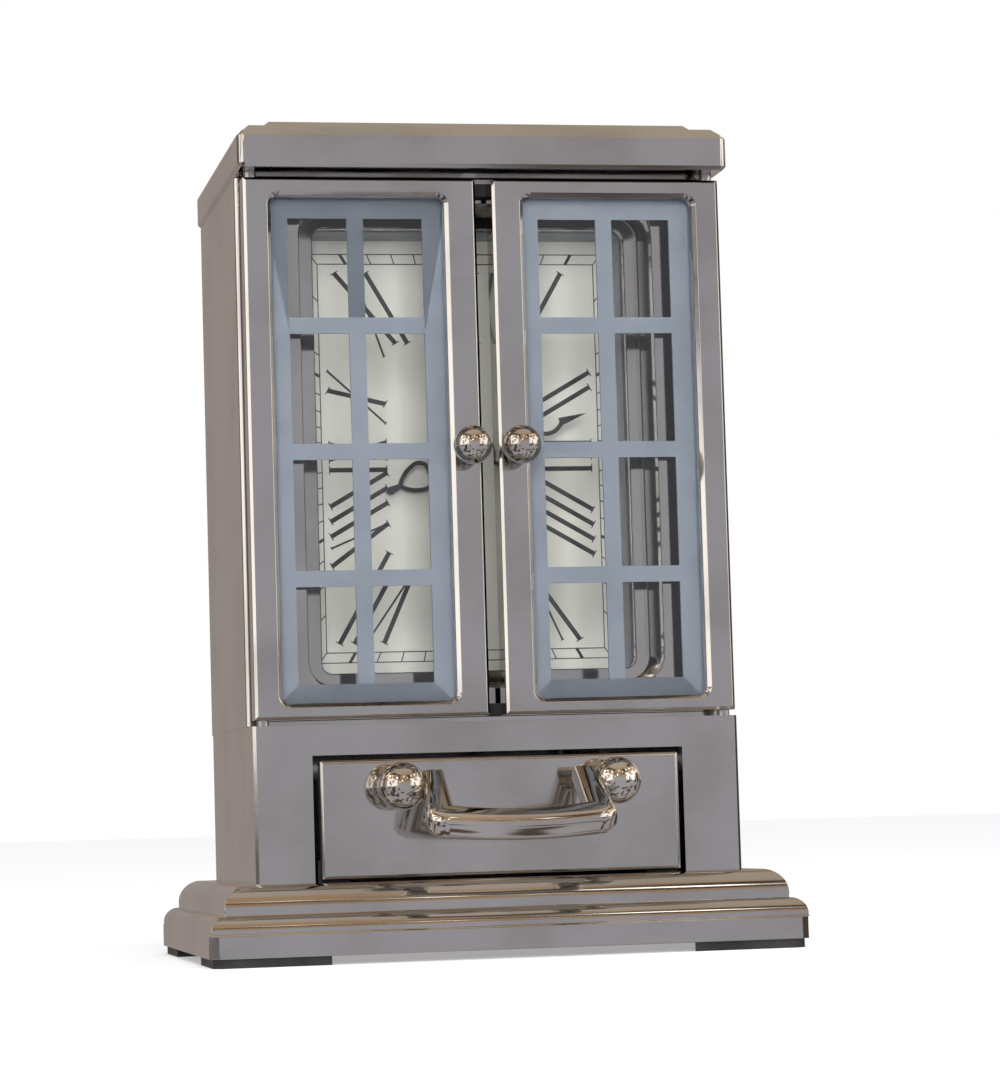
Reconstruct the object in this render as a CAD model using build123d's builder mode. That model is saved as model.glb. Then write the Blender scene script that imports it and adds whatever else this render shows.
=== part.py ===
from build123d import *
import os
from math import asin, cos, pi, radians, sin

# Miniature cabinet clock: a plated die-cast case with two glazed doors, a drawer and a quartz dial.
# Millimetres. X runs to the right, Y to the back and Z up, from the surface that the clock stands on.
# The origin is at the middle of the overall footprint.

# Plinth and its feet
FOOT_HEIGHT = 0.85
FOOT_ARM = 11.0
FOOT_BREADTH = 2.9
FOOT_INSET = 0.35
FOOT_END_SLOPE = 0.8
PLINTH_WIDTH = 57.4
PLINTH_DEPTH = 44.6
PLINTH_MID_Y = 3.4
PLINTH_TOP = 7.5
PLINTH_WALL = 4.0
PLINTH_TOP_PLATE = 1.6
PLINTH_CORNER_FLAT = 0.85
BAND_TOP = 2.95
BAND_BEVEL = 0.15
LOW_OVOLO_INSET = 1.3
LOW_OVOLO_TOP = 4.75
MOULDING_STEP = 0.3
TOP_OVOLO_FOOT = 5.0
TOP_OVOLO_INSET = 3.4

# Lower case, which holds the drawer
LOWER_HALF_WIDTH = 23.6
LOWER_FRONT = -13.4
CASE_BACK = 20.2
LOWER_TOP = 22.4
LOWER_WALL = 1.2
LOWER_LID = 1.3
DRAWER_OPENING_HALF = 18.0
DRAWER_OPENING_TOP = 19.5
SEAM_X = 23.3
SEAM_SIZE = 0.12
CASE_CORNER = 0.3

# Upper case, with the recess that the dial is seen through
UPPER_HALF_WIDTH = 23.7
UPPER_FRONT = -9.5
UPPER_TOP = 75.55
UPPER_WALL = 1.3
DIAL_Z = 49.4
RECESS_HALF_WIDTH = 17.55
RECESS_HALF_HEIGHT = 23.65
RECESS_CORNER = 3.0
RECESS_TAPER = 7.0
RECESS_WALL = 1.0
LEDGE_FRONT = -5.4
LEDGE_THICK = 1.0
WINDOW_HALF_WIDTH = 15.65
WINDOW_HALF_HEIGHT = 21.85
WINDOW_CORNER = 1.0
POST_X = 20.8
POST_INSET_Z = 1.6
POST_SIZE = 3.2
PLATE_BOSS_X = 20.3
PLATE_BOSS_DZ = 18.0
PLATE_BOSS_SIZE = 3.2

# Roof
ROOF_HALF_WIDTH = 24.0
ROOF_FRONT = -15.4
ROOF_BACK = 20.5
ROOF_SLAB_TOP = 79.1
ROOF_TOP_BEVEL = 0.5
ROOF_CORNER = 0.8
ROOF_LOWER_BEVEL = 0.35
ROOF_STEP_INSET = 0.6
ROOF_STEP_HEIGHT = 0.6
ROOF_PANEL_INSET = 2.6
ROOF_PANEL_HEIGHT = 0.8
ROOF_HIP_ANGLE = 48.0

# Doors
DOOR_GAP = 1.6
DOOR_OUTER_X = 23.4
DOOR_BOTTOM = 22.95
DOOR_TOP = 74.8
DOOR_FRONT = -13.8
DOOR_THICK = 3.0
DOOR_STILE_INNER = 3.1
DOOR_STILE_OUTER = 2.7
DOOR_RAIL_BOTTOM = 1.5
DOOR_RAIL_TOP = 1.75
DOOR_OPENING_CORNER = 0.8
DOOR_OPENING_BEVEL = 0.4
DOOR_EDGE_BEVEL = 0.3
REBATE_EXTRA = 0.8
REBATE_FRONT = -12.3
PANE_THICK = 0.9
LATTICE_THICK = 0.3
LATTICE_BORDER = 1.83
MUNTIN_WIDTH = 1.6
BAR_WIDTH = 1.55
BAR_PITCH = 12.2
BAR_MIDDLE_Z = 48.6
HINGE_X = 22.5
HINGE_Y = -12.3
PIN_RADIUS = 0.6
PIN_HOLE_RADIUS = 0.65
PIN_IN_CASE = 0.9
PIN_HOLE_DEPTH = 1.0
STOP_WIDTH = 5.0
STOP_HEIGHT = 1.2
STOP_THICK = 1.2

# Turned knobs of the doors
KNOB_X = 2.4
KNOB_Z = 48.55
KNOB_BALL_RADIUS = 1.85
KNOB_BALL_OUT = 3.3
KNOB_NECK_RADIUS = 0.55
KNOB_ROSE_RADIUS = 1.2
ROSE_HEIGHT = 0.75
BALL_STEPS = 4

# Drawer
DRAWER_HALF_WIDTH = 17.4
DRAWER_BOTTOM = 7.75
DRAWER_TOP = 19.0
DRAWER_FRONT = -14.1
DRAWER_FRONT_THICK = 1.6
DRAWER_FRONT_BEVEL = 0.25
TRAY_HALF_WIDTH = 16.2
TRAY_BACK = 14.5
TRAY_TOP = 17.3
TRAY_WALL = 1.0
STOP_TAB_Y = 8.0
STOP_TAB_TOP = 20.2
RUNNER_CLEARANCE = 0.05
RUNNER_INNER_X = 14.5
RUNNER_OUTER_X = 17.5
RUNNER_TOP = 9.6
RUNNER_SIDE_GAP = 0.15
RUNNER_FRONT = -12.0
RUNNER_BACK = 18.0

# Drawer pull: one casting, with two turned posts and a bail that stands out and down between them
PULL_X = 10.3
PULL_Z = 16.35
PULL_BALL_OUT = 4.4
PULL_BALL_RADIUS = 2.25
PULL_NECK_RADIUS = 1.0
PULL_ROSE_RADIUS = 1.7
BAIL_DROP_ANGLE = 33.9
BAIL_REACH = 7.0
BAIL_EYE_RADIUS = 1.35
BAIL_ARM_INNER = 6.2
BAIL_ARM_OUTER = 8.3
BAIL_BAR_OUTER = 8.9
BAIL_SWAG = 0.7
BAIL_CORNER = 1.0

# Dial, from the crystal at the front to the movement behind it
CRYSTAL_FRONT = -4.4
CRYSTAL_THICK = 1.0
DIAL_FRONT = 1.8
DIAL_THICK = 0.4
DIAL_RIM = 1.0
DIAL_HOLE_RADIUS = 1.25
HOUR_ANGLE = 245.0
MINUTE_ANGLE = 72.0
HAND_THICK = 0.22
MINUTE_HAND_BACK = -0.6
MINUTE_HAND_LENGTH = 13.1
HOUR_HAND_BACK = 0.65
HOUR_HAND_LENGTH = 8.8
HAND_LINE = 0.42
ARBOR_RADIUS = 0.55
ARBOR_TIP = -1.2
ARBOR_BACK = 6.4
ARBOR_END_GAP = 0.3
TUBE_RADIUS = 0.95
TUBE_BORE_RADIUS = 0.62
TUBE_FRONT = 0.2
MINUTE_HUB_RADIUS = 1.2
SERPENT_START = 4.6
BEND_LENGTH = 2.9
BEND_SWING = 0.75
HOUR_HUB_RADIUS = 1.7
BEAD_X = 3.6
BEAD_RADIUS = 0.5
HEART_START = 3.9
HEART_LENGTH = 3.3
HEART_HALF_WIDTH = 1.3

# Motion work: the 12 to 1 gearing between the two hands, and the pinion that sets them
COARSE_MODULE = 0.2
FINE_MODULE = 0.192
GEAR_CENTRES = 4.8
CANNON_TEETH = 12
MINUTE_WHEEL_TEETH = 36
MINUTE_PINION_TEETH = 10
HOUR_WHEEL_TEETH = 40
SETTING_TEETH = 12
HOUR_WHEEL_FRONT = 2.45
HOUR_WHEEL_BACK = 2.95
MINUTE_PINION_FRONT = 2.4
MINUTE_WHEEL_FRONT = 3.2
MINUTE_WHEEL_BACK = 3.6
PINION_FRONT = 3.15
PINION_BACK = 3.75
STUD_RADIUS = 0.4
STUD_BORE_RADIUS = 0.45
STUD_FRONT = 2.3
SHAFT_CLEARANCE = 0.05

# Quartz movement
PLATE_FRONT = 4.0
PLATE_BACK = 4.8
PLATE_EAR_END = 22.0
HOUSING_HALF_WIDTH = 13.5
HOUSING_HALF_HEIGHT = 16.5
HOUSING_BACK = 16.8
HOUSING_WALL = 1.2
CAVITY_BACK = 10.6
LUG_SIZE = 1.3
LUG_X = 12.6
LUG_DZ = 15.6
LUG_BOSS_SIZE = 3.0
BEARING_SIZE = 3.2
BEARING_FRONT = 5.6
CELL_Z = 57.2
CELL_RADIUS = 5.8
CELL_THICK = 5.4
CELL_STEP = 0.5
CELL_CAP_RADIUS = 4.6
CELL_WELL_RADIUS = 5.9
CELL_WELL_FRONT = 10.95
CONTACT_THICK = 0.2
CONTACT_WIDTH = 2.4
STATOR_FRONT = 7.2
STATOR_THICK = 0.8
STATOR_HALF_WIDTH = 10.4
STATOR_BOTTOM = 52.6
STATOR_TOP = 62.1
STATOR_ARM = 2.8
STATOR_YOKE_TOP = 58.2
CORE_HEIGHT = 1.2
ROTOR_Z = 55.4
ROTOR_HOLE_RADIUS = 1.9
STATOR_POST_X = 9.0
STATOR_POST_HEIGHTS = (54.0, 60.5)
STATOR_POST_SIZE = 2.0
COIL_HALF_LENGTH = 6.6
COIL_RADIUS = 2.1
FLANGE_SIZE = 4.6
FLANGE_THICK = 0.6
BOARD_HALF_WIDTH = 10.9
BOARD_BOTTOM = 34.8
BOARD_TOP = 47.2
BOARD_THICK = 0.8
BOARD_HOLE_RADIUS = 1.6
SETTING_SHAFT_RADIUS = 0.8
SETTING_KNOB_FRONT = 20.5
SETTING_KNOB_LENGTH = 2.6
SETTING_KNOB_RADIUS = 3.5
SETTING_KNOB_BEVEL = 0.35
GRIP_COUNT = 8
GRIP_RADIUS = 0.45

# Rear cover
COVER_FRONT = 19.0
COVER_GAP = 0.1
COVER_HOLE_RADIUS = 1.5
CELL_PAD_RADIUS = 3.0

# Sizes that follow from those above
PLINTH_INNER_TOP = PLINTH_TOP - PLINTH_TOP_PLATE
LOWER_MID_Y = (LOWER_FRONT + CASE_BACK) / 2
LOWER_DEPTH = CASE_BACK - LOWER_FRONT
UPPER_DEPTH = CASE_BACK - UPPER_FRONT
UPPER_MID_Z = (LOWER_TOP + UPPER_TOP) / 2
UPPER_HEIGHT = UPPER_TOP - LOWER_TOP
PANEL_BACK = UPPER_FRONT + UPPER_WALL
LEDGE_BACK = LEDGE_FRONT + LEDGE_THICK
ROOF_MID_Y = (ROOF_FRONT + ROOF_BACK) / 2
DOOR_BACK = DOOR_FRONT + DOOR_THICK
DOOR_INNER_X = DOOR_GAP / 2
DOOR_MID_X = (DOOR_INNER_X + DOOR_OUTER_X) / 2
DOOR_MID_Z = (DOOR_BOTTOM + DOOR_TOP) / 2
OPENING_MID_X = (DOOR_INNER_X + DOOR_STILE_INNER + DOOR_OUTER_X - DOOR_STILE_OUTER) / 2
OPENING_WIDTH = DOOR_OUTER_X - DOOR_STILE_OUTER - DOOR_INNER_X - DOOR_STILE_INNER
OPENING_MID_Z = (DOOR_BOTTOM + DOOR_RAIL_BOTTOM + DOOR_TOP - DOOR_RAIL_TOP) / 2
OPENING_HEIGHT = DOOR_TOP - DOOR_RAIL_TOP - DOOR_BOTTOM - DOOR_RAIL_BOTTOM
LATTICE_FRONT = REBATE_FRONT + PANE_THICK
TRAY_FRONT = DRAWER_FRONT + DRAWER_FRONT_THICK
DIAL_HALF_WIDTH = WINDOW_HALF_WIDTH + DIAL_RIM
DIAL_HALF_HEIGHT = WINDOW_HALF_HEIGHT + DIAL_RIM
CRYSTAL_BACK = CRYSTAL_FRONT + CRYSTAL_THICK
DIAL_BACK = DIAL_FRONT + DIAL_THICK
MINUTE_WHEEL_Z = DIAL_Z - GEAR_CENTRES
SETTING_Z = MINUTE_WHEEL_Z - GEAR_CENTRES
COIL_Z = STATOR_TOP - CORE_HEIGHT / 2
COIL_Y = STATOR_FRONT + STATOR_THICK / 2

os.makedirs("parts", exist_ok=True)


def facing_front(y):
    """Sketch plane at depth y: X to the right, Z up, with its normal towards the viewer."""
    return Plane.XZ.offset(-y)


def level(z):
    """Level sketch plane at height z."""
    return Plane.XY.offset(z)


def ovolo(centre, across, top):
    """Convex quarter moulding from its outer foot up to its top, as one arc."""
    x, z = centre
    bulge = sin(pi / 4)
    return ThreePointArc((x + across, z), (x + across * bulge, z + (top - z) * bulge), (x, top))


def plinth_section(plane, half_width):
    """Upright section of the plinth: plain band, bevel, small ovolo, step, large ovolo, flat top."""
    low_radius = half_width - LOW_OVOLO_INSET
    with BuildSketch(plane) as section:
        with BuildLine():
            underside = Line((0, FOOT_HEIGHT), (half_width, FOOT_HEIGHT))
            band = Line(underside @ 1, (half_width, BAND_TOP))
            bevel = Line(band @ 1, (half_width - BAND_BEVEL, BAND_TOP + BAND_BEVEL))
            low_ovolo = ovolo(
                (low_radius, BAND_TOP + BAND_BEVEL), LOW_OVOLO_INSET - BAND_BEVEL, LOW_OVOLO_TOP
            )
            step = Line(low_ovolo @ 1, (low_radius - MOULDING_STEP, LOW_OVOLO_TOP))
            rise = Line(step @ 1, (low_radius - MOULDING_STEP, TOP_OVOLO_FOOT))
            top_ovolo = ovolo(
                (half_width - TOP_OVOLO_INSET, TOP_OVOLO_FOOT),
                TOP_OVOLO_INSET - LOW_OVOLO_INSET - MOULDING_STEP,
                PLINTH_TOP,
            )
            Line(top_ovolo @ 1, (0, PLINTH_TOP))
            mirror(about=Plane.YZ)
        make_face()
    return section.sketch


def gear_face(teeth, module, first_tooth=0.0):
    """Outline of a small stamped gear, with one tooth centred at first_tooth degrees from the X axis."""
    pitch_angle = 2 * pi / teeth
    pitch_radius = module * teeth / 2
    root_radius = pitch_radius - 1.25 * module
    tip_radius = pitch_radius + 0.9 * module
    root_half, tip_half = 0.3 * pitch_angle, 0.1 * pitch_angle
    corners = []
    for tooth in range(teeth):
        middle = radians(first_tooth) + tooth * pitch_angle
        for radius, turn in (
            (root_radius, -root_half),
            (tip_radius, -tip_half),
            (tip_radius, tip_half),
            (root_radius, root_half),
        ):
            corners.append((radius * cos(middle + turn), radius * sin(middle + turn)))
    with BuildSketch() as face:
        with BuildLine():
            Polyline(*corners, close=True)
        make_face()
    return face.sketch


def knob_outline(rose, neck, ball, ball_out):
    """Half outline of a turned knob: flared rose, neck and a ball in BALL_STEPS flats. Y points outwards."""
    first = asin(neck / ball)
    points = [(0, 0), (rose, 0), (neck, ROSE_HEIGHT)]
    for step in range(BALL_STEPS + 1):
        turn = first + (pi - 2 * first) * step / BALL_STEPS
        points.append((ball * sin(turn), ball_out - ball * cos(turn)))
    points.append((0, ball_out + ball * cos(first)))
    with BuildSketch() as outline:
        with BuildLine():
            Polyline(*points, close=True)
        make_face()
    return outline.sketch


def turning_plane(x, y, z):
    """Plane of a turned piece that stands out of a front face: radius along X, height towards the viewer."""
    return Plane(origin=(x, y, z), x_dir=(1, 0, 0), z_dir=(0, 0, -1))


# Plinth: the section run along both sides, so that the mouldings mitre at the corners
with BuildPart() as base_plinth:
    extrude(plinth_section(facing_front(PLINTH_MID_Y), PLINTH_WIDTH / 2), amount=PLINTH_DEPTH / 2, both=True)
    extrude(
        plinth_section(Plane.YZ.shift_origin((0, PLINTH_MID_Y, 0)), PLINTH_DEPTH / 2),
        amount=PLINTH_WIDTH / 2,
        both=True,
        mode=Mode.INTERSECT,
    )
    with BuildSketch(level(FOOT_HEIGHT)):
        with Locations((0, PLINTH_MID_Y)):
            with GridLocations(PLINTH_WIDTH, PLINTH_DEPTH, 2, 2):
                Rectangle(PLINTH_CORNER_FLAT * 2**0.5, PLINTH_CORNER_FLAT * 2**0.5, rotation=45)
    extrude(amount=BAND_TOP - FOOT_HEIGHT, mode=Mode.SUBTRACT)
    with BuildSketch(level(FOOT_HEIGHT)):
        with Locations((0, PLINTH_MID_Y)):
            Rectangle(PLINTH_WIDTH - 2 * PLINTH_WALL, PLINTH_DEPTH - 2 * PLINTH_WALL)
    extrude(amount=PLINTH_INNER_TOP - FOOT_HEIGHT, mode=Mode.SUBTRACT)
base_plinth.part.label = "base_plinth"
export_step(base_plinth.part, "parts/base_plinth.step")

# Bracket feet: one L-shaped foot mirrored to the four corners
with BuildPart() as bracket_feet:
    foot_x = PLINTH_WIDTH / 2 - FOOT_INSET
    foot_y = PLINTH_DEPTH / 2 - FOOT_INSET
    with BuildSketch(Plane.XY.shift_origin((0, PLINTH_MID_Y, 0))):
        with BuildLine():
            Polyline(
                (foot_x, foot_y - PLINTH_CORNER_FLAT),
                (foot_x, foot_y - FOOT_ARM),
                (foot_x - FOOT_BREADTH, foot_y - FOOT_ARM + FOOT_END_SLOPE),
                (foot_x - FOOT_BREADTH, foot_y - FOOT_BREADTH),
                (foot_x - FOOT_ARM + FOOT_END_SLOPE, foot_y - FOOT_BREADTH),
                (foot_x - FOOT_ARM, foot_y),
                (foot_x - PLINTH_CORNER_FLAT, foot_y),
                close=True,
            )
        make_face()
    extrude(amount=FOOT_HEIGHT)
    mirror(about=Plane.YZ)
    mirror(about=facing_front(PLINTH_MID_Y))
bracket_feet.part.label = "bracket_feet"
export_step(bracket_feet.part, "parts/bracket_feet.step")

# Drawer runners: two angle strips on the plinth that carry and guide the tray
with BuildPart() as drawer_runners:
    with BuildSketch(facing_front(RUNNER_BACK)):
        with BuildLine():
            guide_x = TRAY_HALF_WIDTH + RUNNER_SIDE_GAP
            shelf_z = DRAWER_BOTTOM - RUNNER_CLEARANCE
            Polyline(
                (RUNNER_INNER_X, PLINTH_TOP),
                (RUNNER_OUTER_X, PLINTH_TOP),
                (RUNNER_OUTER_X, RUNNER_TOP),
                (guide_x, RUNNER_TOP),
                (guide_x, shelf_z),
                (RUNNER_INNER_X, shelf_z),
                close=True,
            )
        make_face()
        mirror(about=Plane.YZ)
    extrude(amount=RUNNER_BACK - RUNNER_FRONT)
drawer_runners.part.label = "drawer_runners"
export_step(drawer_runners.part, "parts/drawer_runners.step")

# Lower case: an open-bottomed casting round the drawer
with BuildPart() as lower_case:
    with BuildSketch(level(PLINTH_TOP)):
        with Locations((0, LOWER_MID_Y)):
            Rectangle(2 * LOWER_HALF_WIDTH, LOWER_DEPTH)
    extrude(amount=LOWER_TOP - PLINTH_TOP)
    chamfer(lower_case.edges().filter_by(Axis.Z), length=CASE_CORNER)
    with BuildSketch(level(PLINTH_TOP)):
        with Locations((0, LOWER_MID_Y)):
            Rectangle(2 * (LOWER_HALF_WIDTH - LOWER_WALL), LOWER_DEPTH - 2 * LOWER_WALL)
    extrude(amount=LOWER_TOP - LOWER_LID - PLINTH_TOP, mode=Mode.SUBTRACT)
    with BuildSketch(facing_front(LOWER_FRONT)):
        with Locations((0, (PLINTH_TOP + DRAWER_OPENING_TOP) / 2)):
            Rectangle(2 * DRAWER_OPENING_HALF, DRAWER_OPENING_TOP - PLINTH_TOP)
        with Locations((-SEAM_X, (PLINTH_TOP + LOWER_TOP) / 2), (SEAM_X, (PLINTH_TOP + LOWER_TOP) / 2)):
            seams = Rectangle(SEAM_SIZE, LOWER_TOP - PLINTH_TOP, mode=Mode.PRIVATE)
    extrude(amount=-LOWER_WALL, mode=Mode.SUBTRACT)
    extrude(seams, amount=-SEAM_SIZE, mode=Mode.SUBTRACT)
    with BuildSketch(level(LOWER_TOP)):
        with Locations((-HINGE_X, HINGE_Y), (HINGE_X, HINGE_Y)):
            Circle(PIN_HOLE_RADIUS)
    extrude(amount=-PIN_HOLE_DEPTH, mode=Mode.SUBTRACT)
lower_case.part.label = "lower_case"
export_step(lower_case.part, "parts/lower_case.step")

# Upper case: a shell open at the back, with a tapered recess and a sight ledge round the dial window
with BuildPart() as upper_case:
    with BuildSketch(facing_front(CASE_BACK)):
        with Locations((0, UPPER_MID_Z)):
            Rectangle(2 * UPPER_HALF_WIDTH, UPPER_HEIGHT)
    extrude(amount=UPPER_DEPTH)
    chamfer(upper_case.edges().filter_by(Axis.Z), length=CASE_CORNER)
    with BuildSketch(facing_front(CASE_BACK)):
        with Locations((0, UPPER_MID_Z)):
            Rectangle(2 * (UPPER_HALF_WIDTH - UPPER_WALL), UPPER_HEIGHT - 2 * UPPER_WALL)
    extrude(amount=CASE_BACK - PANEL_BACK, mode=Mode.SUBTRACT)
    with BuildSketch(facing_front(UPPER_FRONT)):
        with Locations((0, DIAL_Z)):
            Rectangle(2 * (RECESS_HALF_WIDTH + RECESS_WALL), 2 * (RECESS_HALF_HEIGHT + RECESS_WALL))
    extrude(amount=UPPER_FRONT - LEDGE_BACK, taper=RECESS_TAPER)
    with BuildSketch(facing_front(PANEL_BACK)):
        with Locations((0, DIAL_Z)):
            with GridLocations(2 * PLATE_BOSS_X, 2 * PLATE_BOSS_DZ, 2, 2):
                Rectangle(PLATE_BOSS_SIZE, PLATE_BOSS_SIZE)
    extrude(amount=PANEL_BACK - PLATE_FRONT)
    with BuildSketch(facing_front(PANEL_BACK)):
        with Locations((0, UPPER_MID_Z)):
            with GridLocations(2 * POST_X, UPPER_HEIGHT - 2 * (UPPER_WALL + POST_INSET_Z), 2, 2):
                Rectangle(POST_SIZE, POST_SIZE)
    extrude(amount=PANEL_BACK - COVER_FRONT)
    with BuildSketch(facing_front(UPPER_FRONT)):
        with Locations((0, DIAL_Z)):
            RectangleRounded(2 * RECESS_HALF_WIDTH, 2 * RECESS_HALF_HEIGHT, RECESS_CORNER)
    extrude(amount=UPPER_FRONT - LEDGE_FRONT, taper=RECESS_TAPER, mode=Mode.SUBTRACT)
    with BuildSketch(facing_front(LEDGE_FRONT)):
        with Locations((0, DIAL_Z)):
            RectangleRounded(2 * WINDOW_HALF_WIDTH, 2 * WINDOW_HALF_HEIGHT, WINDOW_CORNER)
    extrude(amount=-LEDGE_THICK, mode=Mode.SUBTRACT)
upper_case.part.label = "upper_case"
export_step(upper_case.part, "parts/upper_case.step")

# Roof: a thick slab with a bevelled top, a low step and a raised hipped panel
with BuildPart() as roof_cornice:
    roof_depth = ROOF_BACK - ROOF_FRONT
    with BuildSketch(level(UPPER_TOP)):
        with Locations((0, ROOF_MID_Y)):
            Rectangle(2 * ROOF_HALF_WIDTH, roof_depth)
    extrude(amount=ROOF_SLAB_TOP - UPPER_TOP)
    fillet(roof_cornice.edges().filter_by(Axis.Z), radius=ROOF_CORNER)
    chamfer(roof_cornice.faces().sort_by(Axis.Z)[-1].edges(), length=ROOF_TOP_BEVEL)
    chamfer(roof_cornice.faces().sort_by(Axis.Z)[0].edges(), length=ROOF_LOWER_BEVEL)
    with BuildSketch(level(ROOF_SLAB_TOP)):
        with Locations((0, ROOF_MID_Y)):
            Rectangle(2 * (ROOF_HALF_WIDTH - ROOF_STEP_INSET), roof_depth - 2 * ROOF_STEP_INSET)
    extrude(amount=ROOF_STEP_HEIGHT, taper=ROOF_HIP_ANGLE)
    with BuildSketch(level(ROOF_SLAB_TOP + ROOF_STEP_HEIGHT)):
        with Locations((0, ROOF_MID_Y)):
            Rectangle(2 * (ROOF_HALF_WIDTH - ROOF_PANEL_INSET), roof_depth - 2 * ROOF_PANEL_INSET)
    extrude(amount=ROOF_PANEL_HEIGHT, taper=ROOF_HIP_ANGLE)
    with BuildSketch(level(UPPER_TOP)):
        with Locations((-HINGE_X, HINGE_Y), (HINGE_X, HINGE_Y)):
            Circle(PIN_HOLE_RADIUS)
    extrude(amount=PIN_HOLE_DEPTH, mode=Mode.SUBTRACT)
roof_cornice.part.label = "roof_cornice"
export_step(roof_cornice.part, "parts/roof_cornice.step")

# Door stops: two small pads on the case front, behind the meeting stiles
with BuildPart() as door_stops:
    with BuildSketch(facing_front(UPPER_FRONT)):
        with Locations((0, DOOR_BOTTOM + STOP_HEIGHT / 2), (0, DOOR_TOP - STOP_HEIGHT / 2)):
            Rectangle(STOP_WIDTH, STOP_HEIGHT)
    extrude(amount=STOP_THICK)
door_stops.part.label = "door_stops"
export_step(door_stops.part, "parts/door_stops.step")


def door(name, side):
    """Frame, pane, lattice, knob and end pins of one door; side is -1 for the left, 1 for the right."""
    opening_x = side * OPENING_MID_X
    with BuildPart() as frame:
        with BuildSketch(facing_front(DOOR_BACK)):
            with Locations((side * DOOR_MID_X, DOOR_MID_Z)):
                Rectangle(DOOR_OUTER_X - DOOR_INNER_X, DOOR_TOP - DOOR_BOTTOM)
        extrude(amount=DOOR_THICK)
        chamfer(frame.faces().sort_by(Axis.Y)[0].edges(), length=DOOR_EDGE_BEVEL)
        with BuildSketch(facing_front(DOOR_FRONT)):
            with Locations((opening_x, OPENING_MID_Z)):
                RectangleRounded(OPENING_WIDTH, OPENING_HEIGHT, DOOR_OPENING_CORNER)
        extrude(amount=-DOOR_THICK, mode=Mode.SUBTRACT)
        chamfer(frame.faces().sort_by(Axis.Y)[0].inner_wires()[0].edges(), length=DOOR_OPENING_BEVEL)
        with BuildSketch(facing_front(DOOR_BACK)):
            with Locations((opening_x, OPENING_MID_Z)):
                Rectangle(OPENING_WIDTH + 2 * REBATE_EXTRA, OPENING_HEIGHT + 2 * REBATE_EXTRA)
        extrude(amount=DOOR_BACK - REBATE_FRONT, mode=Mode.SUBTRACT)
    frame.part.label = f"{name}_door_frame"
    export_step(frame.part, f"parts/{name}_door_frame.step")

    with BuildPart() as pane:
        with BuildSketch(facing_front(LATTICE_FRONT)):
            with Locations((opening_x, OPENING_MID_Z)):
                Rectangle(OPENING_WIDTH + 2 * REBATE_EXTRA, OPENING_HEIGHT + 2 * REBATE_EXTRA)
        extrude(amount=PANE_THICK)
    pane.part.label = f"{name}_door_pane"
    export_step(pane.part, f"parts/{name}_door_pane.step")

    with BuildPart() as lattice:
        with BuildSketch(facing_front(LATTICE_FRONT + LATTICE_THICK)):
            with Locations((opening_x, OPENING_MID_Z)):
                Rectangle(OPENING_WIDTH + 2 * REBATE_EXTRA, OPENING_HEIGHT + 2 * REBATE_EXTRA)
                Rectangle(
                    OPENING_WIDTH - 2 * LATTICE_BORDER,
                    OPENING_HEIGHT - 2 * LATTICE_BORDER,
                    mode=Mode.SUBTRACT,
                )
                Rectangle(MUNTIN_WIDTH, OPENING_HEIGHT)
            with Locations((opening_x, BAR_MIDDLE_Z)):
                with GridLocations(0, BAR_PITCH, 1, 3):
                    Rectangle(OPENING_WIDTH, BAR_WIDTH)
        extrude(amount=LATTICE_THICK)
    lattice.part.label = f"{name}_door_lattice"
    export_step(lattice.part, f"parts/{name}_door_lattice.step")

    with BuildPart() as knob:
        turning = turning_plane(side * KNOB_X, DOOR_FRONT, KNOB_Z)
        outline = knob_outline(KNOB_ROSE_RADIUS, KNOB_NECK_RADIUS, KNOB_BALL_RADIUS, KNOB_BALL_OUT)
        revolve(turning * outline, axis=Axis(turning.origin, turning.y_dir))
    knob.part.label = f"{name}_door_knob"
    export_step(knob.part, f"parts/{name}_door_knob.step")

    with BuildPart() as pins:
        with BuildSketch(level(DOOR_TOP)):
            with Locations((side * HINGE_X, HINGE_Y)):
                Circle(PIN_RADIUS)
        extrude(amount=UPPER_TOP + PIN_IN_CASE - DOOR_TOP)
        with BuildSketch(level(DOOR_BOTTOM)):
            with Locations((side * HINGE_X, HINGE_Y)):
                Circle(PIN_RADIUS)
        extrude(amount=LOWER_TOP - PIN_IN_CASE - DOOR_BOTTOM)
    pins.part.label = f"{name}_door_pins"
    export_step(pins.part, f"parts/{name}_door_pins.step")


door("left", -1)
door("right", 1)

# Drawer front: a plain plate with a bevelled face
with BuildPart() as drawer_front:
    with BuildSketch(facing_front(TRAY_FRONT)):
        with Locations((0, (DRAWER_BOTTOM + DRAWER_TOP) / 2)):
            Rectangle(2 * DRAWER_HALF_WIDTH, DRAWER_TOP - DRAWER_BOTTOM)
    extrude(amount=DRAWER_FRONT_THICK)
    chamfer(drawer_front.faces().sort_by(Axis.Y)[0].edges(), length=DRAWER_FRONT_BEVEL)
drawer_front.part.label = "drawer_front"
export_step(drawer_front.part, "parts/drawer_front.step")

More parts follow.
